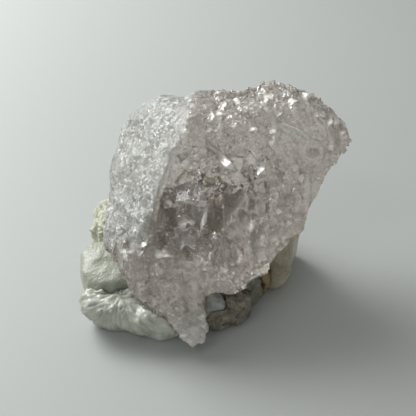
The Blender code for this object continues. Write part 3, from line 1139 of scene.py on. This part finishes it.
    def masks(self, places: Array, normals: Array) -> dict[str, Array]:
        """Where each kind of surface lies.

        Args:
            places: each point as (u, v, w).
            normals: the outward direction at each point.

        Returns:
            A number from 0 to 1 for each point, by the name of the kind of surface.
        """
        flat = places[:, :2]
        facing = normals @ self.outward()
        front = smooth_step(*self.facing_fade, facing)
        window = self.inside(self.window_edge, self.window_blur, flat) * front
        on_back = smooth_step(*self.back_fade, -facing)
        frost = self.inside(self.frost_edge, self.frost_blur, flat)
        frost = frost * smooth_step(*self.frost_fade, flat[:, 1]) * (1 - self.back_frost_cut * on_back)
        rim = 1 - smooth_step(*self.rim_fade, np.abs(facing))
        smooth = self.inside(self.smooth_patch, self.smooth_blur, flat) * front
        calm = 1 - self.flatness(flat) * front
        on_spur = 1 - smooth_step(*self.spur_fade, flat[:, 1])
        above = smooth_step(*self.upper_fade, flat[:, 1])
        right = smooth_step(*self.upper_right_fade, flat[:, 0])
        plain = (1 - window) * (1 - self.frost_on_plain * frost) * calm
        return {
            # painted highlights and shade from the features, and the spur's haze, partly painted brightness
            "veil": self.veil(flat) * front + self.spur_haze_and_painted_light * on_spur,
            "front": front,
            "window": window,
            "frost": frost,
            "swollen": calm * (1 - self.frost_on_swells * frost),
            "broken": window * calm,
            "rim": rim * (1 - self.frost_on_rim * frost),
            "plain": plain * (1 - self.rim_on_plain * rim) * (1 - self.smooth_on_plain * smooth),
            "fibre": smooth_step(*self.fibre_fade, flat[:, 1]) * (1 - window),
            "upper": above * right * front,
        }

    def inside(self, edge: Trail, blur: float, flat: Array) -> Array:
        """How far each point is within an outline, from 0 to 1 over its blurred edge."""
        return smooth_step(-blur, blur, edge.depth_inside(flat))

    def flatness(self, flat: Array) -> Array:
        """Where the listed features hold the etching off, from 0 to 1 at each point.

        Args:
            flat: the points, one row of (u, v) each.

        Returns:
            One number for each point.
        """
        flatness = np.zeros(len(flat))
        for facet in self.every_facet():
            flatness = np.maximum(flatness, facet.share(flat))
        for ridge in self.ridges:
            flatness = np.maximum(flatness, self.ridge_calm * ridge.nearness(flat, self.ridge_calm_spread))
        off_ring = smooth_step(*self.ring_calm_fade, self.ring.distance(flat) / self.ring.radius)
        return np.maximum(flatness, self.ring_calm * (1 - off_ring))

    def veil(self, flat: Array) -> Array:
        """How milky the features are at each point: painted highlights where milky, painted shade where clear
        and dark under zero.

        Args:
            flat: the points, one row of (u, v) each.

        Returns:
            One number for each point.
        """
        total = np.zeros(len(flat))
        for facet in self.every_facet():
            share = facet.share(flat)
            total = total * (1 - share) + facet.veil * share
        for ridge in self.ridges:
            total = total + ridge.veil * ridge.nearness(flat, self.painted_light_spread)
        return np.minimum(total + self.ring.veil * self.ring.nearness(flat), 1.0)

    def every_facet(self) -> tuple[Facet, ...]:
        """The listed facets, and a small four-cornered one for each glint.

        Returns:
            All the facets.
        """
        small = []
        for number, (across, up, radius) in enumerate(self.glints):
            turn = number * self.glint_turn
            corners = [
                (
                    across + radius * reach * math.cos(turn + bearing),
                    up + radius * reach * math.sin(turn + bearing),
                )
                for bearing, reach in self.glint_corners
            ]
            small.append(Facet(outline(*corners), self.glint_lift, GLINT, self.glint_edge, self.glint_painted_highlight))
        return (*self.facets, *small)

    def carve(self, points: Array, places: Array, masks: dict[str, Array]) -> Array:
        """Adds the features that have a place of their own on the broad face.

        Args:
            points: the skin's points, in metres.
            places: the same points as (u, v, w).
            masks: where each kind of surface lies.

        Returns:
            The moved points.
        """
        flat = places[:, :2]
        base = -self.window_depth * masks["window"]
        lift = base
        for ridge in self.ridges:
            lift = lift + ridge.lift(flat)
        lift = lift + self.ring.height * self.ring.radius * self.ring.nearness(flat)
        for facet in self.every_facet():
            share = facet.share(flat)
            level = np.average(places[:, 2], weights=share * masks["front"])
            plane = level + facet.height(flat) + base - places[:, 2]
            lift = lift * (1 - share) + plane * share
        lift = np.clip(lift, *self.lift_limits)
        return points + (lift * masks["front"] * MM)[:, None] * self.outward()

    def build(self) -> bpy.types.Object:
        """Makes the crystal's skin, carves it and etches it.

        Returns:
            The finished piece.
        """
        piece = fine_skin(self.node, "kunzite_skin", self.voxel, self.smoothing)
        points = points_of(piece)
        places = self.own_places(points)
        masks = self.masks(places, normals_of(piece))
        set_points(piece, self.carve(points, places, masks))
        store(piece, "own_place", places)
        store(piece, "brushed_place", self.brushed_places(places))
        for name, values in masks.items():
            store(piece, name, values)
        ReliefTree("crystal_relief", self.layers, self.finish.material()).apply(piece)
        stand_on_table(piece)
        finish_piece(piece, self.node, self.sharp_angle)
        return piece


# ---------------------------------------------------------------- the matrix


@dataclass
class Grain:
    """One mineral grain of the matrix.

    Attributes:
        node: the CAD node it replaces.
        finish: its mineral, whose name is also its slot's.
        layers: its relief.
        voxel, smoothing, sharp: its skin's spacing, relaxing and sharpest soft edge in degrees.
        swell: how far it is grown towards its neighbours.
        undercut, foot_height: how much narrower its foot is, and how high the foot reaches.
        base_fade: the heights between which its relief comes in.
    """

    node: str
    finish: StoneFinish
    layers: tuple[Layer, ...]
    voxel: float = 0.45
    smoothing: int = 4
    swell: float = 0.12
    undercut: float = 0.08
    foot_height: float = 3.5
    base_fade: Point2 = (0.1, 1.2)
    sharp: float | None = None

    def build(self) -> bpy.types.Object:
        """Makes the grain's skin, closes it up to its neighbours and gives it its relief.

        Returns:
            The finished piece.
        """
        piece = fine_skin(self.node, self.node + "_skin", self.voxel, self.smoothing)
        points, normals = points_of(piece), normals_of(piece)
        set_points(piece, self.drawn_in(points + normals * self.swell * MM))
        store(piece, "own_place", self.own_places(points))
        above_base = smooth_step(*self.base_fade, points[:, 2] / MM)
        store(piece, "above_base", above_base)
        store(piece, "bladed", above_base * self.bladed(points))
        ReliefTree(self.node + "_relief", self.layers, self.finish.material()).apply(piece)
        stand_on_table(piece)
        finish_piece(piece, self.node, self.sharp)
        return piece

    def drawn_in(self, points: Array) -> Array:
        """The points with the grain's foot narrowed, as a rounded stone meets a table.

        Args:
            points: the skin's points, in metres.

        Returns:
            The moved points.
        """
        low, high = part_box(self.node)
        middle = np.array((low + high) / 2)[:2]
        keep = 1 - self.undercut * (1 - smooth_step(0.0, self.foot_height, points[:, 2] / MM))
        return np.column_stack((middle + (points[:, :2] - middle) * keep[:, None], points[:, 2]))

    def own_places(self, points: Array) -> Array:
        """The places that the relief's pattern is read at."""
        return points / MM

    def bladed(self, points: Array) -> Array:
        """How strongly blades show at each point, from 0 to 1."""
        return np.ones(len(points))


@dataclass
class BladedGrain(Grain):
    """A grain whose relief runs out from one point, as blades fan out.

    Attributes:
        fan_offset: the fan's root, from the middle of the node's box.
        fan_lean: how far the fan's plane leans, in degrees.
        turns: how many units of the pattern one radian round the root takes.
        smooth_below: the places up the fan's plane between which the blades come in.
    """

    fan_offset: Triple = (-4.7, -3.9, 5.2)
    fan_lean: float = 52.0
    turns: float = 7.0
    smooth_below: Point2 = (-12.0, -7.0)

    def own_places(self, points: Array) -> Array:
        """Places as the angle round the fan's root, the distance from it and the depth behind its plane."""
        across, up, out = self.from_root(points)
        return np.column_stack((np.arctan2(up, -across) * self.turns, np.hypot(across, up), out))

    def bladed(self, points: Array) -> Array:
        """Blades show over the upper part, and the lower lobe is smooth."""
        return smooth_step(*self.smooth_below, self.from_root(points)[1])

    def from_root(self, points: Array) -> tuple[Array, Array, Array]:
        """Each point from the fan's root: across, up along the fan's plane, and out of it.

        Args:
            points: the skin's points, in metres.

        Returns:
            The three numbers of each point.
        """
        low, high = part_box(self.node)
        root = np.array((low + high) / 2) / MM + np.array(self.fan_offset)
        away = points / MM - root
        lean = math.radians(self.fan_lean)
        up = away[:, 1] * math.cos(lean) + away[:, 2] * math.sin(lean)
        out = away[:, 2] * math.cos(lean) - away[:, 1] * math.sin(lean)
        return away[:, 0], up, out


def plain_relief(bites: float) -> tuple[Layer, ...]:
    """The relief of a broken mineral grain, deeper with bites.

    Args:
        bites: how deep it is, with 1 as usual.

    Returns:
        Its layers.
    """
    return (
        Layer("swells", Texture.FOLDS, 6.0, 0.5 * bites, "above_base", seed=1),
        Layer("chips", Texture.CUPS, 2.2, 0.45 * bites, "above_base", seed=4),
        Layer("grain", Texture.GRIT, 0.8, 0.16 * bites, "above_base", seed=6),
    )


def broken_relief(bites: float) -> tuple[Layer, ...]:
    """The relief of a grain that breaks in flat steps.

    Args:
        bites: how deep it is, with 1 as usual.

    Returns:
        Its layers.
    """
    return (
        Layer("steps", Texture.SHARDS, 3.4, 0.9 * bites, "above_base", seed=2),
        Layer("flakes", Texture.SHARDS, 1.3, 0.35 * bites, "above_base", seed=7),
        Layer("grain", Texture.GRIT, 0.7, 0.12 * bites, "above_base", seed=9),
    )


def matrix_grains() -> list[Grain]:
    """Every grain of the matrix, from the front left round to the back.

    Returns:
        The grains.
    """
    # Each finish: name, light, dark, patch, vein, vein's share, roughness and coat.
    white = StoneFinish(
        "white_albite",
        (0.47, 0.48, 0.41), (0.37, 0.38, 0.31), 5.0, (0.30, 0.28, 0.20), 0.25, (0.30, 0.55), 0.15,
    )
    bladed = StoneFinish(
        "bladed_albite",
        (0.70, 0.71, 0.63), (0.40, 0.41, 0.34), 2.0, (0.22, 0.20, 0.14), 0.3, (0.22, 0.5), 0.3,
        grain=0.7, grain_height=0.10, stretch=(1.0, 8.0, 4.0), follows_blades=True,
    )
    yellow = StoneFinish(
        "yellow_albite",
        (0.67, 0.68, 0.57), (0.50, 0.49, 0.38), 2.5, (0.55, 0.45, 0.22), 0.3, (0.5, 0.8), 0.0,
    )
    clear = StoneFinish(
        "clear_quartz",
        (0.50, 0.52, 0.50), (0.34, 0.36, 0.34), 2.0, (0.4, 0.4, 0.36), 0.1, (0.12, 0.3), 0.4,
    )
    smoky = StoneFinish(
        "smoky_low",
        (0.34, 0.31, 0.24), (0.13, 0.12, 0.09), 2.2, (0.16, 0.10, 0.05), 0.5, (0.2, 0.5), 0.3,
    )
    smoky_green = StoneFinish(
        "smoky_high",
        (0.34, 0.33, 0.26), (0.13, 0.125, 0.09), 2.2, (0.2, 0.14, 0.07), 0.5, (0.2, 0.5), 0.3,
    )
    stain = StoneFinish(
        "iron_stain",
        (0.42, 0.33, 0.19), (0.22, 0.15, 0.07), 2.0, (0.30, 0.14, 0.04), 0.6, (0.35, 0.6), 0.0,
    )
    olive = StoneFinish(
        "olive_feldspar",
        (0.58, 0.54, 0.40), (0.36, 0.33, 0.22), 6.0, (0.30, 0.22, 0.12), 0.3, (0.2, 0.45), 0.3,
    )
    cream = StoneFinish(
        "core_feldspar",
        (0.52, 0.50, 0.40), (0.32, 0.30, 0.23), 4.0, (0.24, 0.18, 0.10), 0.35, (0.4, 0.7), 0.0,
    )
    fan_layers = (
        Layer("blades", Texture.FOLDS, 3.2, 1.2, "bladed", (1.0, 2.4, 3.0), 3),
        Layer("fine blades", Texture.FOLDS, 0.8, 0.34, "bladed", (1.0, 4.0, 3.0), 5),
        Layer("flakes", Texture.SHARDS, 1.6, 0.4, "bladed", (0.8, 1.8, 1.5), 8),
        Layer("swells", Texture.FOLDS, 5.0, 0.8, "above_base", (1.0, 1.6, 1.0), 9),
        Layer("grain", Texture.GRIT, 0.7, 0.12, "above_base", seed=10),
    )
    crust_layers = (
        Layer("clots", Texture.CUPS, 3.4, 1.6, "above_base", seed=12),
        Layer("grains", Texture.SHARDS, 1.6, 0.7, "above_base", seed=13),
        Layer("grit", Texture.GRIT, 0.8, 0.3, "above_base", seed=15),
    )
    return [
        Grain("albite_knob", white, plain_relief(0.7)),
        BladedGrain("albite_fan", bladed, fan_layers, voxel=0.36),
        Grain("albite_crust", yellow, crust_layers),
        Grain("quartz_chip", clear, broken_relief(0.4), voxel=0.25, smoothing=1),
        Grain("smoky_grain_low", smoky, broken_relief(0.8), sharp=35),
        Grain("smoky_grain_high", smoky_green, broken_relief(0.8), sharp=35),
        Grain("stained_wedge", stain, broken_relief(0.6), sharp=35),
        Grain("feldspar_block", olive, plain_relief(0.6)),
        Grain("feldspar_core", cream, broken_relief(1.0), sharp=40),
    ]


# ---------------------------------------------------------------- the studio


@dataclass(frozen=True)
class Panel:
    """A soft light that faces the specimen. Its lengths are metres and its power watts."""

    name: str
    place: Triple
    size: Point2
    power: float
    colour: Colour = (0.97, 1.0, 0.99)

    def build(self) -> None:
        """Hangs the panel in the scene."""
        lamp = bpy.data.lights.new(self.name, "AREA")
        lamp.shape = "RECTANGLE"
        lamp.size, lamp.size_y = self.size
        lamp.energy = self.power
        lamp.color = self.colour
        holder = bpy.data.objects.new(self.name, lamp)
        holder.location = self.place
        holder.rotation_euler = (-Vector(self.place)).to_track_quat("-Z", "Y").to_euler()
        bpy.context.scene.collection.objects.link(holder)


@dataclass
class Studio:
    """The floor, the lights and the camera. Its lengths are metres, its angles degrees.

    Attributes:
        floor_half, floor_colour, floor_roughness: the floor.
        panels: the soft lights.
        room_light, room_colour: the even light of the room.
        camera_pitch, camera_distance, camera_lens, camera_clip: how the camera stands and sees.
        aim_offset: where it looks, from the middle of the CAD model's box.
    """

    floor_half: float = 3.0
    floor_colour: Colour = (0.47, 0.48, 0.47)
    floor_roughness: float = 0.6
    panels: tuple[Panel, ...] = (  # name, place, size and power
        Panel("window", (-0.31, 0.27, 0.33), (0.22, 0.22), 1.4),
        Panel("curtain", (-0.36, 0.31, 0.39), (0.46, 0.40), 2.3),
        Panel("ceiling_strip", (-0.20, -0.20, 0.40), (0.14, 0.06), 0.12),
        Panel("front_fill", (-0.14, -0.40, 0.28), (0.18, 0.14), 0.05),
    )
    room_light: float = 0.32
    room_colour: Colour = (0.97, 1.0, 0.985)
    camera_pitch: float = 38.0
    camera_distance: float = 0.170
    camera_lens: float = 60.8
    camera_clip: float = 0.01
    aim_offset: Triple = (-0.0013, -0.0023, 0.0036)

    def build(self) -> None:
        """Makes everything that isn't the specimen."""
        bpy.context.scene.view_settings.view_transform = "Standard"
        self.floor()
        self.lights()
        self.camera()

    def floor(self) -> None:
        """A plain pale floor."""
        half = self.floor_half
        data = bpy.data.meshes.new("floor")
        corners = [(-half, -half, 0), (half, -half, 0), (half, half, 0), (-half, half, 0)]
        data.from_pydata(corners, [], [(0, 1, 2, 3)])
        floor = bpy.data.objects.new("floor", data)
        bpy.context.scene.collection.objects.link(floor)
        material, _, shader = new_material("pale_floor")
        shader.inputs["Base Color"].default_value = (*self.floor_colour, 1)
        shader.inputs["Roughness"].default_value = self.floor_roughness
        data.materials.append(material)

    def lights(self) -> None:
        """A window with its curtain at the back left, two small fills, and a dim even room."""
        for panel in self.panels:
            panel.build()
        world = bpy.data.worlds.new("room")
        world.use_nodes = True
        background = world.node_tree.nodes["Background"]
        background.inputs[0].default_value = (*self.room_colour, 1)
        background.inputs[1].default_value = self.room_light
        bpy.context.scene.world = world

    def camera(self) -> None:
        """A camera that looks down on the specimen from the front."""
        low, high = CAD_BOX
        aim = (low + high) / 2 + Vector(self.aim_offset)
        pitch = math.radians(self.camera_pitch)
        data = bpy.data.cameras.new("camera")
        data.lens = self.camera_lens
        data.clip_start = self.camera_clip
        camera = bpy.data.objects.new("camera", data)
        camera.location = aim + self.camera_distance * Vector((0, -math.cos(pitch), math.sin(pitch)))
        camera.rotation_euler = (math.pi / 2 - pitch, 0, 0)
        bpy.context.scene.collection.objects.link(camera)
        bpy.context.scene.camera = camera


def main() -> None:
    """Builds the studio, the crystal and its matrix."""
    logging.basicConfig(level=logging.INFO, format="%(name)s: %(message)s")
    Studio().build()
    KunziteCrystal().build()
    for grain in matrix_grains():
        grain.build()


if __name__ == "__main__":
    main()
